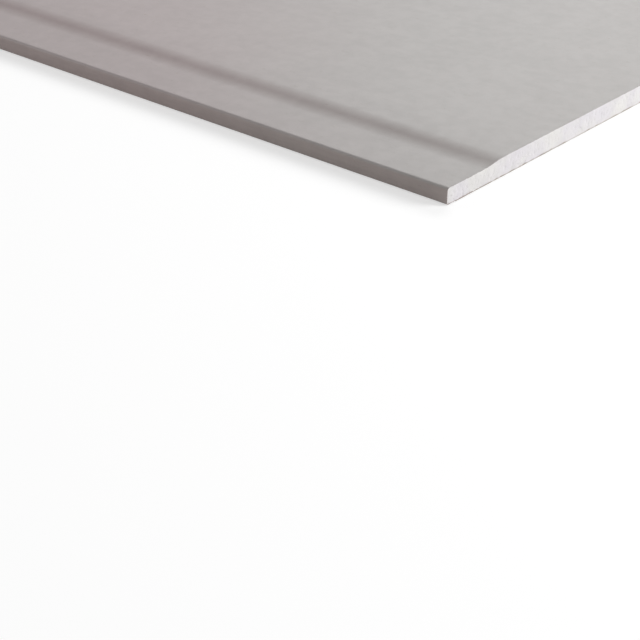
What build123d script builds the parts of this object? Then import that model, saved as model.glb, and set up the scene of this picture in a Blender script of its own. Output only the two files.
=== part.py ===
"""Drywall sheet: a foamed gypsum core between two papers, with tapered long edges.

The sheet lies face up on its back paper. X runs along its length, Y across its width and
Z through its thickness. The origin is the middle of the back, where it rests on the floor.
"""

import os

from build123d import *

# Overall size of the finished sheet, in millimetres
length = 2400.0
width = 1200.0
thickness = 12.5

# Tapered long edges: a flat margin, and a shoulder that climbs from it to the field
taper_depth = 1.7
margin_width = 32.0
shoulder_width = 26.0

# Paper, as thick as it is once it has dried on the core
face_paper_thickness = 0.35
back_paper_thickness = 0.3

# The face paper turns round each long edge and ends in a flap under the back paper
face_fold_radius = 2.0
back_fold_radius = 1.5
flap_width = 25.0
back_paper_inset = 8.0

# Places across half the sheet, measured from its middle
half_width = width / 2
shoulder_foot = half_width - margin_width
shoulder_top = shoulder_foot - shoulder_width
shoulder_middle = (shoulder_foot + shoulder_top) / 2
flap_end = half_width - flap_width
back_paper_edge = half_width - back_paper_inset

# Heights above the floor
margin_height = thickness - taper_depth
shoulder_middle_height = thickness - taper_depth / 2
field_bond_height = thickness - face_paper_thickness
flap_bond_height = back_paper_thickness + face_paper_thickness

# Every piece is one section, extruded along the whole sheet from this end
cut_end = Plane.YZ.offset(-length / 2)

# Outside of the face paper, from the middle of the face to the end of one flap. The two arcs
# of the shoulder meet half way up it, so the field, the shoulder and the margin are tangent.
with BuildLine() as wrap:
    field = Line((0, thickness), (shoulder_top, thickness))
    crest = TangentArc(
        field @ 1, (shoulder_middle, shoulder_middle_height), tangent=field % 1
    )
    dip = TangentArc(crest @ 1, (shoulder_foot, margin_height), tangent=crest % 1)
    FilletPolyline(
        dip @ 1,
        (half_width, margin_height),
        (half_width, back_paper_thickness),
        (flap_end, back_paper_thickness),
        radius=[face_fold_radius, back_fold_radius],
    )

# Face paper: one web that covers the face and wraps both long edges, equally thick all round
with BuildPart() as face_paper:
    with BuildSketch(cut_end):
        with BuildLine():
            add(wrap.edges())
            offset(amount=face_paper_thickness, side=Side.RIGHT)
        make_face()
        mirror(about=Plane.YZ)
    extrude(amount=length)
face_paper.part.label = "face_paper"

# Gypsum core: what sets between the papers, with a step up where each flap ends
with BuildPart() as gypsum_core:
    with BuildSketch(cut_end):
        with BuildLine():
            offset(
                wrap.edges(),
                amount=face_paper_thickness,
                side=Side.RIGHT,
                closed=False,
            )
            Polyline(
                (flap_end, flap_bond_height),
                (flap_end, back_paper_thickness),
                (0, back_paper_thickness),
                (0, field_bond_height),
            )
        make_face()
        mirror(about=Plane.YZ)
    extrude(amount=length)
gypsum_core.part.label = "gypsum_core"

# Back paper: a flat web that laps over both flaps and stops short of the long edges
with BuildPart() as back_paper:
    with BuildSketch(cut_end):
        Rectangle(
            2 * back_paper_edge, back_paper_thickness, align=(Align.CENTER, Align.MIN)
        )
    extrude(amount=length)
back_paper.part.label = "back_paper"

os.makedirs("parts", exist_ok=True)
for piece in (gypsum_core, face_paper, back_paper):
    export_step(piece.part, f"parts/{piece.part.label}.step")
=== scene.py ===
"""Drywall sheet, lying face up on a white studio floor, seen close at one corner."""

import math

import bpy
import numpy as np
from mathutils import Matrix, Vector, noise


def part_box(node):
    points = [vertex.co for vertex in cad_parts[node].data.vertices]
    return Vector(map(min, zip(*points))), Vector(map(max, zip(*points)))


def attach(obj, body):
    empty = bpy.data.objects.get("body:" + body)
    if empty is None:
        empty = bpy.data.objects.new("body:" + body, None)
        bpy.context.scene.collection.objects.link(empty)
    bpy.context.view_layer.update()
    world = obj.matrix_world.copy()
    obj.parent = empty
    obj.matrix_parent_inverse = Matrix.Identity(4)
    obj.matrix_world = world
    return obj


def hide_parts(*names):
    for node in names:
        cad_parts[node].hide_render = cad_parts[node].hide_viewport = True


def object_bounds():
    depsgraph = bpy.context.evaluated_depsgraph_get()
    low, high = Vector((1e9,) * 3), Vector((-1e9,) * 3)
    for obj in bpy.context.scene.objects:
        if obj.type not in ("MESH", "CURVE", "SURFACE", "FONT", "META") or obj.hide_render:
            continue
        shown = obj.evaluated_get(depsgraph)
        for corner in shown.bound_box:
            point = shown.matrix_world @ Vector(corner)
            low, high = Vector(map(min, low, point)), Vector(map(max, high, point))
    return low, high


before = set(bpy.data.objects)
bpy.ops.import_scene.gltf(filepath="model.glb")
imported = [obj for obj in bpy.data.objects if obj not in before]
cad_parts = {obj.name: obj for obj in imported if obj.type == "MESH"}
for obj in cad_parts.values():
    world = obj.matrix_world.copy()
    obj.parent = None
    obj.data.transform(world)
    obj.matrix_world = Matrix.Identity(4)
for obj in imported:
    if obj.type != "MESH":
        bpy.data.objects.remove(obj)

cad_low, cad_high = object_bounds()

MM = 0.001

# The sheet, from the frame: +X along the length, +Y across the width, +Z out of the face
HALF_LENGTH = cad_high.x
HALF_WIDTH = cad_high.y
THICKNESS = cad_high.z
BACK_PAPER_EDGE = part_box("back_paper")[1].y
BACK_PAPER_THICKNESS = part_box("back_paper")[1].z
FACE_PAPER_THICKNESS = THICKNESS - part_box("gypsum_core")[1].z

# The tapered long edge and the folds of the face paper
TAPER_DEPTH = 1.7 * MM
MARGIN_WIDTH = 32 * MM
SHOULDER_WIDTH = 26 * MM
FACE_FOLD_RADIUS = 2 * MM
BACK_FOLD_RADIUS = 1.5 * MM
FLAP_WIDTH = 25 * MM

# Places across half the sheet, and heights above the floor, that follow from them
MARGIN_HEIGHT = THICKNESS - TAPER_DEPTH
SHOULDER_FOOT = HALF_WIDTH - MARGIN_WIDTH
SHOULDER_TOP = SHOULDER_FOOT - SHOULDER_WIDTH
SHOULDER_MIDDLE = (SHOULDER_FOOT + SHOULDER_TOP) / 2
FLAP_END = HALF_WIDTH - FLAP_WIDTH

# How many parts each stretch of the face paper's section is divided into
FIELD_STEPS = 360
SHOULDER_ARC_STEPS = 14
MARGIN_STEPS = 24
FACE_FOLD_STEPS = 12
LONG_EDGE_STEPS = 8
BACK_FOLD_STEPS = 10
FLAP_STEPS = 16

# Rows of both papers: how far the first ones lie from a cut end, and how many even stretches
# there are between the last of those and its twin at the other end
END_ROWS = np.array([0, 1.3, 4, 12, 60]) * MM
EVEN_STRETCHES = 21
BACK_PAPER_COLUMNS = 161

# Nicks in the papers' cut ends, and the wander of the back paper's slit edges
NICK_DEPTH = 0.9 * MM
SLIT_WANDER = 0.8 * MM
SLIT_WAVELENGTH = 260 * MM

# Grid of the core's sawn ends. Its columns are even, but for a strip beside each long edge,
# where they follow the outline, and a narrow pair that makes the step at the end of a flap.
CORE_COLUMN_STEP = 0.65 * MM
CORE_STRIP_WIDTH = 2 * MM
CORE_ROWS = 17
HALF_FLAP_STEP = 0.01 * MM

# Sawn gypsum, in millimetres: how far it lies behind the end of the sheet on the whole, and
# the size and depth of its waves, grain, pores and lost crumbs. The share is how much of the
# rim has crumbled, and the reach is how soon that ends further in.
SAWN_SETBACK = 0.16
WAVE_SIZE = 14
WAVE_DEPTH = 0.07
GRAIN_SIZE = 1.6
GRAIN_DEPTH = 0.05
PORE_SPACING = 3.2
PORE_RADIUS = 0.96
PORE_DEPTH = 0.3
CRUMB_SIZE = 3
CRUMB_SHARE = 0.35
CRUMB_DEPTH = 0.5
CRUMB_REACH = 0.7

# A smooth mesh keeps an edge sharp where its faces turn by more than this
SHARP_FROM = math.radians(35)

# The face paper is cooler towards the cut ends. Along the centre line it starts to turn, and
# is coolest, this far from the middle of the sheet. Off that line both places lie further out,
# by the bulge times the square of the distance from it, and both wander within this range.
COOL_END_FADE = (0.55, 0.9)
COOL_END_BULGE = 1.02
COOL_END_WANDER = 0.25

# The shoulder's dark band, painted shade that stands in for its slope turned from the light:
# how blunt its middle is, how far it reaches to each side, and where it eases off near a cut
# end
BAND_SOFTNESS = 1.8 * MM
BAND_REACH = 11 * MM
BAND_EASE_LENGTH = 45 * MM

# How far from the shoulder the field starts to darken towards the margin
MARGIN_FADE = 27 * MM

# Over the long edge the paper darkens between these depths below the margin, and is at least
# this warm, at the cooler ends too
EDGE_FADE_START = 0.2 * MM
EDGE_FADE_END = 1.6 * MM
EDGE_WARMTH = 0.45

# The photograph's camera, fitted to the near corner of the sheet
CAMERA_AZIMUTH = math.radians(40.94)
CAMERA_ELEVATION = math.radians(29.26)
CAMERA_FROM_CORNER = Vector((0.4786, -0.6605, 0.3819))
CAMERA_LENS_MM = 89.75
CAMERA_SENSOR_MM = 36
CAMERA_CLIP_START = 0.01

# Floor, a little under the sheet. Its own grey is for the light that it throws on the sheet.
# Seen directly it is another grey that glows: by the lift near the sheet, and up to plain white
# beyond a fade, which starts and ends at these distances from the middle.
FLOOR_SIZE = 60.0
FLOOR_GAP = 0.2 * MM
FLOOR_GREY = 0.8
FLOOR_SEEN_GREY = 0.6
FLOOR_LIFT = 0.55
FLOOR_FADE = (1.7, 4.0)

# Strength of the sky's light, and places of the lamps. The side and back lamps are placed from
# the point that they are turned to, and the fill lamp is turned to the middle of the sheet.
AMBIENT = 0.25
LAMP_TARGET = Vector((0.9, -0.3, 0))
SIDE_LAMP_OFFSET = Vector((2.3, 1.1, 1.2))
BACK_LAMP_OFFSET = Vector((-1.4, 3.84, 2.5))
FILL_LAMP_PLACE = Vector((-3.2, -2.6, 1.5))


def srgb(red, green, blue):
    """Linear colour of an 8-bit sRGB one."""
    linear = []
    for value in (red, green, blue):
        share = value / 255
        if share <= 0.04045:
            linear.append(share / 12.92)
        else:
            linear.append(((share + 0.055) / 1.055) ** 2.4)
    return (*linear, 1.0)


def grey(value):
    """Linear grey, as a colour or as a tint."""
    return (value, value, value, 1.0)


# Section of the sheet

def line(start, end, normal, steps):
    """Points and normals along a straight stretch of the section, without its last point."""
    share = np.arange(steps)[:, None] / steps
    points = np.array(start) * (1 - share) + np.array(end) * share
    return points, np.tile(np.array(normal, float), (steps, 1))


def arc(centre, radius, start, end, steps, hollow=False):
    """Points and normals along an arc, in degrees, without its last point. A hollow arc's
    normal points at its centre."""
    angle = np.radians(start + (end - start) * np.arange(steps) / steps)
    outwards = np.stack([np.cos(angle), np.sin(angle)], axis=1)
    return np.array(centre) + radius * outwards, -outwards if hollow else outwards


def half_wrap():
    """Outside of the face paper from the middle of the face to the end of one flap."""
    reach = SHOULDER_WIDTH / 2
    drop = TAPER_DEPTH / 2
    radius = (reach**2 + drop**2) / (2 * drop)
    turn = math.degrees(math.asin(reach / radius))
    crest = (SHOULDER_TOP, THICKNESS - radius)
    dip = (SHOULDER_FOOT, MARGIN_HEIGHT + radius)
    face_fold = (HALF_WIDTH - FACE_FOLD_RADIUS, MARGIN_HEIGHT - FACE_FOLD_RADIUS)
    back_fold = (HALF_WIDTH - BACK_FOLD_RADIUS, BACK_PAPER_THICKNESS + BACK_FOLD_RADIUS)
    margin = ((SHOULDER_FOOT, MARGIN_HEIGHT), (face_fold[0], MARGIN_HEIGHT))
    long_edge = ((HALF_WIDTH, face_fold[1]), (HALF_WIDTH, back_fold[1]))
    flap = ((back_fold[0], BACK_PAPER_THICKNESS), (FLAP_END, BACK_PAPER_THICKNESS))
    stretches = [
        line((0, THICKNESS), (SHOULDER_TOP, THICKNESS), (0, 1), FIELD_STEPS),
        arc(crest, radius, 90, 90 - turn, SHOULDER_ARC_STEPS),
        arc(dip, radius, 270 - turn, 270, SHOULDER_ARC_STEPS, hollow=True),
        line(*margin, (0, 1), MARGIN_STEPS),
        arc(face_fold, FACE_FOLD_RADIUS, 90, 0, FACE_FOLD_STEPS),
        line(*long_edge, (1, 0), LONG_EDGE_STEPS),
        arc(back_fold, BACK_FOLD_RADIUS, 0, -90, BACK_FOLD_STEPS),
        line(*flap, (0, -1), FLAP_STEPS),
    ]
    points, normals = zip(*stretches)
    return np.concatenate([*points, [flap[1]]]), np.concatenate([*normals, [(0, -1)]])


def both_halves(half, mirror=1):
    """Values of half a section with their mirror image before them, so that y runs from left
    to right. The image is multiplied by the sign or signs in mirror."""
    return np.concatenate([half[:0:-1] * np.array(mirror), half])


# Meshes

def quads(*corners):
    """Faces of four corners each, from four equal grids of point numbers."""
    return np.stack(corners, axis=-1).reshape(-1, 4)


def new_piece(name, points, faces, material):
    """Object of four-sided faces, smooth but for its sharp edges."""
    mesh = bpy.data.meshes.new(name)
    mesh.vertices.add(len(points))
    mesh.vertices.foreach_set("co", points.astype(np.float32).ravel())
    mesh.loops.add(faces.size)
    mesh.loops.foreach_set("vertex_index", faces.astype(np.int32).ravel())
    mesh.polygons.add(len(faces))
    mesh.polygons.foreach_set("loop_start", np.arange(0, faces.size, 4, dtype=np.int32))
    mesh.update(calc_edges=True)
    mesh.validate()
    mesh.shade_smooth()
    mesh.set_sharp_from_angle(angle=SHARP_FROM)
    mesh.materials.append(material)
    piece = bpy.data.objects.new(name, mesh)
    bpy.context.collection.objects.link(piece)
    return piece


def slab(name, front, back, material):
    """Closed piece between two grids of points, with a rim round all four sides."""
    rows, columns, _ = front.shape
    near = np.arange(rows * columns).reshape(rows, columns)
    far = near + rows * columns
    faces = [
        quads(near[:-1, :-1], near[:-1, 1:], near[1:, 1:], near[1:, :-1]),
        quads(far[:-1, :-1], far[1:, :-1], far[1:, 1:], far[:-1, 1:]),
        quads(near[0, 1:], near[0, :-1], far[0, :-1], far[0, 1:]),
        quads(near[-1, :-1], near[-1, 1:], far[-1, 1:], far[-1, :-1]),
        quads(near[:-1, 0], near[1:, 0], far[1:, 0], far[:-1, 0]),
        quads(near[1:, -1], near[:-1, -1], far[:-1, -1], far[1:, -1]),
    ]
    points = np.concatenate([front.reshape(-1, 3), back.reshape(-1, 3)])
    return new_piece(name, points, np.concatenate(faces), material)


def wobble(places, wavelength, seed):
    """Smooth noise from 0 to 1 along a list of places."""
    values = [noise.noise(Vector((place / wavelength, seed, 0))) for place in places]
    return np.clip(0.5 + 0.7 * np.array(values), 0, 1)


def nicks(across, seed):
    """How far a cut end of paper is nicked along its width: waves, sharp chips and fuzz."""
    waves = 0.15 * wobble(across, 12 * MM, seed)
    chips = 0.6 * wobble(across, 3.6 * MM, seed + 3) ** 3
    fuzz = 0.25 * wobble(across, 1.3 * MM, seed + 6) ** 2
    return NICK_DEPTH * (waves + chips + fuzz)


def nicked_rows(across, seed):
    """The x of each point of a web of paper, row by row, with both cut ends nicked."""
    near_end = HALF_LENGTH - END_ROWS
    even = np.linspace(near_end[-1], -near_end[-1], EVEN_STRETCHES + 1)[1:-1]
    rows = np.concatenate([near_end, even, -near_end[::-1]])
    x = np.tile(rows[:, None], (1, len(across)))
    x[0] -= nicks(across, seed + 1)
    x[-1] += nicks(across, seed - 1)
    return x


def make_face_paper(material):
    """Face paper: one web over the face, round both long edges and under them as flaps."""
    points, normals = half_wrap()
    outside = both_halves(points, mirror=(-1, 1))
    inside = both_halves(points - normals * FACE_PAPER_THICKNESS, mirror=(-1, 1))
    walked = np.cumsum(np.linalg.norm(np.diff(outside, axis=0, prepend=outside[:1]), axis=1))
    x = nicked_rows(walked, seed=5)
    shape = x.shape + (2,)
    front = np.dstack([x, np.broadcast_to(outside, shape)])
    back = np.dstack([x, np.broadcast_to(inside, shape)])
    piece = slab("face_paper_web", front, back, material)
    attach(piece, "root")
    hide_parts("face_paper")


def make_back_paper(material):
    """Back paper: a flat web whose two long edges wander a little, as a slit edge does."""
    across = np.linspace(-1, 1, BACK_PAPER_COLUMNS)
    x = nicked_rows(across * BACK_PAPER_EDGE, seed=21)
    along = x[:, 0]
    left = BACK_PAPER_EDGE - SLIT_WANDER * wobble(along, SLIT_WAVELENGTH, seed=29)
    right = BACK_PAPER_EDGE - SLIT_WANDER * wobble(along, SLIT_WAVELENGTH, seed=31)
    y = across * np.where(across < 0, left[:, None], right[:, None])
    lower = np.dstack([x, y, np.zeros_like(x)])
    upper = np.dstack([x, y, np.full_like(x, BACK_PAPER_THICKNESS)])
    piece = slab("back_paper_web", lower[::-1], upper[::-1], material)
    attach(piece, "root")
    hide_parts("back_paper")


def core_outline():
    """Upper and lower outline of half the core, each from its inner end outwards. They meet
    where the long edge starts below the face paper's fold."""
    points, normals = half_wrap()
    bond = points - normals * FACE_PAPER_THICKNESS
    meeting = FIELD_STEPS + 2 * SHOULDER_ARC_STEPS + MARGIN_STEPS + FACE_FOLD_STEPS
    upper = bond[: meeting + 1]
    lower = bond[meeting:][::-1]
    first_at_each_y = np.unique(lower[:, 0], return_index=True)[1]
    return upper, lower[first_at_each_y]


def core_columns(upper, lower):
    """Places across half the core, from its middle outwards. They are rounded, so that two
    that are the same but for a rounding error count once."""
    strip_from = upper[-1, 0] - CORE_STRIP_WIDTH
    places = [
        np.arange(0, SHOULDER_TOP, CORE_COLUMN_STEP),
        np.arange(SHOULDER_TOP, strip_from, CORE_COLUMN_STEP),
        upper[upper[:, 0] > strip_from, 0],
        lower[lower[:, 0] > strip_from, 0],
        [FLAP_END - HALF_FLAP_STEP, FLAP_END + HALF_FLAP_STEP],
    ]
    return np.unique(np.concatenate(places).round(7))


def cut_relief(y, z, rim, seed):
    """How far the sawn gypsum lies behind the end of the sheet: waves, grain, pores, and
    crumbs lost along the rim, which is given as the distance from it."""
    relief = np.empty(y.shape)
    for place in np.ndindex(y.shape):
        here = Vector((y[place] / MM, z[place] / MM, seed))
        waves = WAVE_DEPTH * noise.noise(here / WAVE_SIZE)
        grain = GRAIN_DEPTH * noise.noise(here / GRAIN_SIZE)
        off_pore = PORE_SPACING * noise.voronoi(here / PORE_SPACING)[0][0]
        pore = PORE_DEPTH * max(0.0, 1 - off_pore / PORE_RADIUS) ** 0.5
        crumbled = max(0.0, CRUMB_SHARE + noise.noise(here / CRUMB_SIZE))
        crumbs = CRUMB_DEPTH * crumbled * math.exp(-rim[place] / MM / CRUMB_REACH)
        relief[place] = SAWN_SETBACK + waves + grain + pore + crumbs
    return relief * MM


def make_core(material):
    """Gypsum core, with its two sawn ends as grids between the papers. The lowest row is its
    underside, with a step at each flap. The rows above it start clear of the flaps."""
    upper, lower = core_outline()
    columns = core_columns(upper, lower)
    flap = np.interp(columns, *lower.T)
    bottom = both_halves(np.where(columns < FLAP_END, BACK_PAPER_THICKNESS, flap))
    flap = both_halves(flap)
    top = both_halves(np.interp(columns, *upper.T))
    share = np.linspace(0, 1, CORE_ROWS)[:, None]
    z = (flap + FACE_PAPER_THICKNESS) * (1 - share) + top * share
    rim = np.minimum(z - flap, top - z)
    z = np.vstack([bottom, z])
    rim = np.vstack([np.zeros_like(bottom), rim])
    y = np.broadcast_to(both_halves(columns, mirror=-1), z.shape)
    right = np.dstack([HALF_LENGTH - cut_relief(y, z, rim, seed=2), y, z])
    left = np.dstack([-HALF_LENGTH + cut_relief(y, z, rim, seed=8), y, z])
    piece = slab("core_with_sawn_ends", right, left, material)
    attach(piece, "root")
    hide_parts("gypsum_core")


# Materials

class Graph:
    """A material's nodes, with short calls for the ones that are used here. A noise's scale is
    about how many of its patches there are to a metre."""

    def __init__(self, name):
        self.material = bpy.data.materials.new(name)
        self.material.use_nodes = True
        self.nodes = self.material.node_tree.nodes
        self.links = self.material.node_tree.links
        self.shader = self.nodes["Principled BSDF"]
        self.place = self.nodes.new("ShaderNodeTexCoord").outputs["Object"]

    def feed(self, socket, value):
        """Give a socket a constant, or link another node's output to it."""
        if isinstance(value, bpy.types.NodeSocket):
            self.links.new(value, socket)
        else:
            socket.default_value = value

    def math(self, operation, first, second=0.0):
        node = self.nodes.new("ShaderNodeMath")
        node.operation = operation
        self.feed(node.inputs[0], first)
        self.feed(node.inputs[1], second)
        return node.outputs[0]

    def axes(self):
        """The place on the sheet as separate X, Y and Z, in metres."""
        node = self.nodes.new("ShaderNodeSeparateXYZ")
        self.links.new(self.place, node.inputs[0])
        return node.outputs[0], node.outputs[1], node.outputs[2]

    def scaled(self, x, y, z):
        """The place scaled along each axis, so that noise on it is drawn out along one."""
        node = self.nodes.new("ShaderNodeMapping")
        self.links.new(self.place, node.inputs["Vector"])
        node.inputs["Scale"].default_value = (x, y, z)
        return node.outputs[0]

    def noise(self, scale=1.0, detail=3.0, roughness=0.5, distortion=0.0, place=None):
        node = self.nodes.new("ShaderNodeTexNoise")
        self.links.new(place or self.place, node.inputs["Vector"])
        node.inputs["Scale"].default_value = scale
        node.inputs["Detail"].default_value = detail
        node.inputs["Roughness"].default_value = roughness
        node.inputs["Distortion"].default_value = distortion
        return node.outputs["Fac"]

    def cells(self, scale):
        """Distance to the nearest of many scattered points, in spacings."""
        node = self.nodes.new("ShaderNodeTexVoronoi")
        self.links.new(self.place, node.inputs["Vector"])
        node.inputs["Scale"].default_value = scale
        return node.outputs["Distance"]

    def ramp(self, value, low=0.3, high=0.7, start=0.0, end=1.0, smooth=True):
        """Value from low to high, taken to start to end and held there beyond them. Left as it
        is, it spreads a noise, most of which lies between 0.3 and 0.7, over 0 to 1."""
        node = self.nodes.new("ShaderNodeMapRange")
        node.interpolation_type = "SMOOTHSTEP" if smooth else "LINEAR"
        self.links.new(value, node.inputs["Value"])
        node.inputs["From Min"].default_value = low
        node.inputs["From Max"].default_value = high
        node.inputs["To Min"].default_value = start
        node.inputs["To Max"].default_value = end
        return node.outputs["Result"]

    def mix(self, share, first, second, blend="MIX"):
        node = self.nodes.new("ShaderNodeMix")
        node.data_type = "RGBA"
        node.blend_type = blend
        self.feed(node.inputs["Factor"], share)
        self.feed(node.inputs[6], first)
        self.feed(node.inputs[7], second)
        return node.outputs[2]

    def tint(self, colour, share, towards):
        """Colour multiplied by a tint, as far as the share says."""
        return self.mix(share, colour, towards, blend="MULTIPLY")

    def bump(self, height, distance, below=None):
        node = self.nodes.new("ShaderNodeBump")
        self.links.new(height, node.inputs["Height"])
        node.inputs["Distance"].default_value = distance
        if below is not None:
            self.links.new(below, node.inputs["Normal"])
        return node.outputs["Normal"]

    def finish(self, colour, roughness, specular, normal=None):
        self.feed(self.shader.inputs["Base Color"], colour)
        self.feed(self.shader.inputs["Roughness"], roughness)
        self.shader.inputs["Specular IOR Level"].default_value = specular
        if normal is not None:
            self.links.new(normal, self.shader.inputs["Normal"])
        return self.material


def paper_ground(g, along, y, on_edge):
    """Warm grey of the face paper, cooler towards the cut ends, and less so over the long
    edges."""
    cool_grey = srgb(180, 176.2, 173.7)
    warm_grey = srgb(183.3, 172.3, 171.7)
    bulge = g.math("MULTIPLY", g.math("MULTIPLY", y, y), COOL_END_BULGE)
    from_middle = g.math("SUBTRACT", along, bulge)
    unevenness = g.math("SUBTRACT", g.noise(2.3, detail=2), 0.5)
    wander = g.math("MULTIPLY", unevenness, COOL_END_WANDER)
    off_cool_end = g.ramp(g.math("ADD", from_middle, wander), *COOL_END_FADE, 1.0, 0.0)
    warmth = g.math("MAXIMUM", off_cool_end, g.math("MULTIPLY", on_edge, EDGE_WARMTH))
    return g.mix(warmth, cool_grey, warm_grey)


def painted_shoulder_shade(g, along, across):
    """Painted shade over the shoulder, where it slopes away from the light: most in its middle,
    unevenly, and less near a cut end.
    """
    off_middle = g.math("SUBTRACT", across, SHOULDER_MIDDLE)
    squared = g.math("ADD", g.math("MULTIPLY", off_middle, off_middle), BAND_SOFTNESS**2)
    band = g.ramp(g.math("SQRT", squared), BAND_SOFTNESS, BAND_REACH, 1.0, 0.0, smooth=False)
    # The painted shade is patchy along the shoulder
    shade_patches = g.ramp(g.noise(detail=2, place=g.scaled(7, 40, 40)), 0.2, 0.8, 0.86, 1.0)
    eased = g.ramp(along, HALF_LENGTH - BAND_EASE_LENGTH, HALF_LENGTH, 1.0, 0.8)
    return g.math("MULTIPLY", g.math("MULTIPLY", band, shade_patches), eased)


def face_paper_material():
    """Warm grey paper: cloudy formation, machine streaks, faint fibres, painted shade on the
    shoulder.
    """
    g = Graph("face_paper_finish")
    x, y, z = g.axes()
    along = g.math("ABSOLUTE", x)
    across = g.math("ABSOLUTE", y)
    below_margin = g.math("SUBTRACT", MARGIN_HEIGHT, z)
    on_edge = g.ramp(below_margin, EDGE_FADE_START, EDGE_FADE_END)
    on_margin = g.ramp(across, SHOULDER_TOP - MARGIN_FADE, SHOULDER_FOOT)
    # Painted shade over the shoulder, where it slopes away from the light
    shoulder_shade = painted_shoulder_shade(g, along, across)

    clouds = g.ramp(g.noise(40))
    mottle = g.ramp(g.noise(130))
    streaks = g.ramp(g.noise(place=g.scaled(1.2, 130, 130)))
    grain = g.ramp(g.noise(1500, roughness=0.7), 0.25, 0.75)
    fibre_field = g.noise(detail=2, distortion=1.2, place=g.scaled(260, 620, 620))
    fibres = g.ramp(fibre_field, 0.66, 0.74)
    edge_streaks = g.ramp(g.noise(place=g.scaled(45, 160, 420)))

    colour = paper_ground(g, along, y, on_edge)
    colour = g.tint(colour, clouds, grey(0.962))
    colour = g.tint(colour, mottle, grey(0.96))
    colour = g.tint(colour, streaks, grey(0.982))
    colour = g.tint(colour, grain, grey(0.97))
    colour = g.tint(colour, fibres, (0.9, 0.88, 0.85, 1.0))
    # Painted shade over the shoulder
    colour = g.tint(colour, shoulder_shade, (0.82, 0.775, 0.772, 1.0))
    colour = g.tint(colour, on_margin, grey(0.94))
    colour = g.tint(colour, on_edge, (1.03, 0.97, 0.94, 1.0))
    colour = g.tint(colour, g.math("MULTIPLY", edge_streaks, on_edge), grey(0.93))

    roughness = g.ramp(mottle, 0.0, 1.0, 0.53, 0.55)
    # The shoulder is rougher where its shade is painted
    roughness = g.math("ADD", roughness, g.math("MULTIPLY", shoulder_shade, 0.12))
    fuzz = g.bump(g.noise(900, detail=4, roughness=0.65), 0.05 * MM)
    normal = g.bump(fibre_field, 0.03 * MM, below=fuzz)
    return g.finish(colour, roughness, specular=0.45, normal=normal)


def back_paper_material():
    """Browner, rougher paper, with the dark and pale flecks of recycled fibre."""
    g = Graph("back_paper_finish")
    clouds = g.ramp(g.noise(48, detail=4, roughness=0.6))
    fleck_field = g.noise(detail=2, distortion=1.5, place=g.scaled(300, 560, 560))
    dark_flecks = g.ramp(fleck_field, 0.64, 0.7)
    pale_flecks = g.ramp(g.noise(420, detail=2), 0.68, 0.73)

    colour = g.mix(g.noise(2.6), srgb(165, 154, 139), srgb(157, 147, 133))
    colour = g.tint(colour, clouds, grey(0.93))
    colour = g.tint(colour, dark_flecks, (0.72, 0.68, 0.62, 1.0))
    colour = g.mix(pale_flecks, colour, srgb(205, 200, 190))

    normal = g.bump(g.noise(700, detail=5, roughness=0.7), 0.09 * MM)
    return g.finish(colour, roughness=0.82, specular=0.25, normal=normal)


def gypsum_material():
    """White gypsum: fine crystalline grain, small air pores with painted shade in them, a few
    grey specks.
    """
    g = Graph("gypsum_finish")
    cool_white = srgb(229.5, 226, 229.5)
    warm_white = srgb(234, 232, 229.5)
    patches = g.ramp(g.noise(30), 0.36, 0.64)
    mottle = g.ramp(g.noise(100))
    pore_size = g.ramp(g.noise(420, detail=2), 0.36, 0.7, 0.0, 0.32)
    off_pore = g.math("SUBTRACT", g.cells(1000), pore_size)
    pores = g.ramp(off_pore, -0.04, 0.05, 1.0, 0.0)
    specks = g.ramp(g.noise(480, detail=1), 0.73, 0.78)

    colour = g.mix(patches, cool_white, warm_white)
    colour = g.tint(colour, mottle, grey(0.945))
    # Painted shade in the pores
    colour = g.tint(colour, pores, (0.9, 0.89, 0.9, 1.0))
    colour = g.tint(colour, specks, (0.8, 0.78, 0.8, 1.0))

    grain = g.bump(g.noise(1400, detail=4, roughness=0.7), 0.06 * MM)
    normal = g.bump(g.ramp(off_pore, -0.14, 0.06), 0.12 * MM, below=grain)
    return g.finish(colour, roughness=0.92, specular=0.2, normal=normal)


# Studio

def seen_directly(nodes, links):
    """1 for what the camera, a mirror or a glass sees, and 0 for the light on the object."""
    path = nodes.new("ShaderNodeLightPath")
    total = path.outputs["Is Camera Ray"]
    for ray in ("Is Glossy Ray", "Is Transmission Ray"):
        node = nodes.new("ShaderNodeMath")
        node.operation = "MAXIMUM"
        links.new(total, node.inputs[0])
        links.new(path.outputs[ray], node.inputs[1])
        total = node.outputs[0]
    return total


def make_world():
    """An even pale sky that lights softly and looks white."""
    world = bpy.data.worlds.new("studio")
    bpy.context.scene.world = world
    world.use_nodes = True
    nodes = world.node_tree.nodes
    links = world.node_tree.links
    background = nodes["Background"]
    background.inputs["Color"].default_value = grey(1.0)
    strength = nodes.new("ShaderNodeMapRange")
    strength.inputs["To Min"].default_value = AMBIENT
    strength.inputs["To Max"].default_value = 1.0
    links.new(seen_directly(nodes, links), strength.inputs["Value"])
    links.new(strength.outputs["Result"], background.inputs["Strength"])


def floor_material():
    """Pale and matt, with a glow only where it is seen directly."""
    g = Graph("floor_finish")
    seen = seen_directly(g.nodes, g.links)
    distance = g.nodes.new("ShaderNodeVectorMath")
    distance.operation = "LENGTH"
    g.links.new(g.place, distance.inputs[0])
    glow = g.ramp(distance.outputs["Value"], *FLOOR_FADE, FLOOR_LIFT, 1.0)
    g.shader.inputs["Emission Color"].default_value = grey(1.0)
    g.feed(g.shader.inputs["Emission Strength"], g.math("MULTIPLY", seen, glow))
    colour = g.mix(seen, grey(FLOOR_GREY), grey(FLOOR_SEEN_GREY))
    return g.finish(colour, roughness=1.0, specular=0.0)


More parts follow.
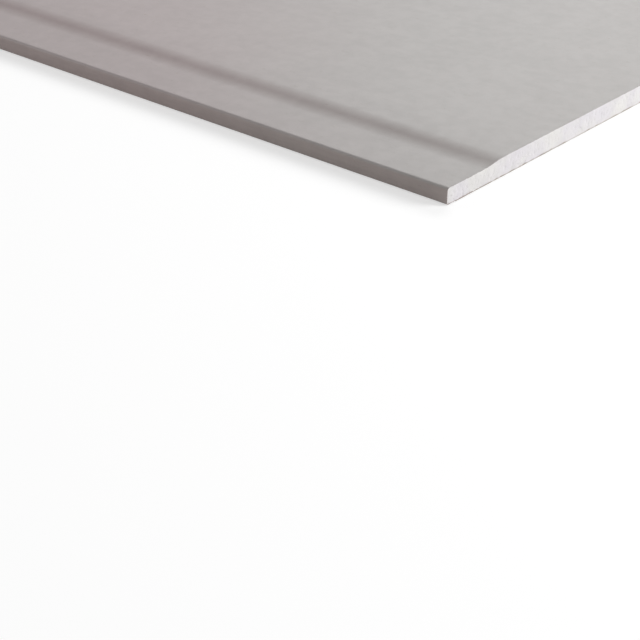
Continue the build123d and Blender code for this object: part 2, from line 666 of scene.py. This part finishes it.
def make_floor():
    """A pale floor that keeps the sheet's shadow, and fades to plain white further out."""
    bpy.ops.mesh.primitive_plane_add(size=FLOOR_SIZE, location=(0, 0, -FLOOR_GAP))
    floor = bpy.context.object
    floor.name = "studio_floor"
    floor.data.materials.append(floor_material())


def make_lamp(name, place, target, width, height, power):
    """A soft box at a place, turned to its target."""
    lamp = bpy.data.lights.new(name, "AREA")
    lamp.shape = "RECTANGLE"
    lamp.size = width
    lamp.size_y = height
    lamp.energy = power
    holder = bpy.data.objects.new(name, lamp)
    bpy.context.collection.objects.link(holder)
    holder.location = place
    holder.rotation_euler = (target - place).to_track_quat("-Z", "Y").to_euler()


def make_lamps():
    """A soft box on the near cut end, a wide one behind the sheet, whose sheen brightens the
    face towards that end, and a fill on the near long edge."""
    side_place = LAMP_TARGET + SIDE_LAMP_OFFSET
    back_place = LAMP_TARGET + BACK_LAMP_OFFSET
    middle = Vector((0, 0, 0))
    make_lamp("side_lamp", side_place, LAMP_TARGET, width=1.2, height=1.2, power=58)
    make_lamp("back_lamp", back_place, LAMP_TARGET, width=3.2, height=1.4, power=79)
    make_lamp("fill_lamp", FILL_LAMP_PLACE, middle, width=2.0, height=2.0, power=56)


def make_camera():
    """The photograph's view of the near corner, where a long edge meets a cut end."""
    corner = Vector((HALF_LENGTH, -HALF_WIDTH, 0))
    towards_camera = Vector(
        (
            math.sin(CAMERA_AZIMUTH) * math.cos(CAMERA_ELEVATION),
            -math.cos(CAMERA_AZIMUTH) * math.cos(CAMERA_ELEVATION),
            math.sin(CAMERA_ELEVATION),
        )
    )
    data = bpy.data.cameras.new("camera")
    data.lens = CAMERA_LENS_MM
    data.sensor_width = CAMERA_SENSOR_MM
    data.clip_start = CAMERA_CLIP_START
    camera = bpy.data.objects.new("camera", data)
    bpy.context.collection.objects.link(camera)
    camera.location = corner + CAMERA_FROM_CORNER
    camera.rotation_euler = (-towards_camera).to_track_quat("-Z", "Y").to_euler()
    bpy.context.scene.camera = camera


make_face_paper(face_paper_material())
make_back_paper(back_paper_material())
make_core(gypsum_material())
make_world()
make_floor()
make_lamps()
make_camera()
bpy.context.scene.view_settings.view_transform = "Standard"
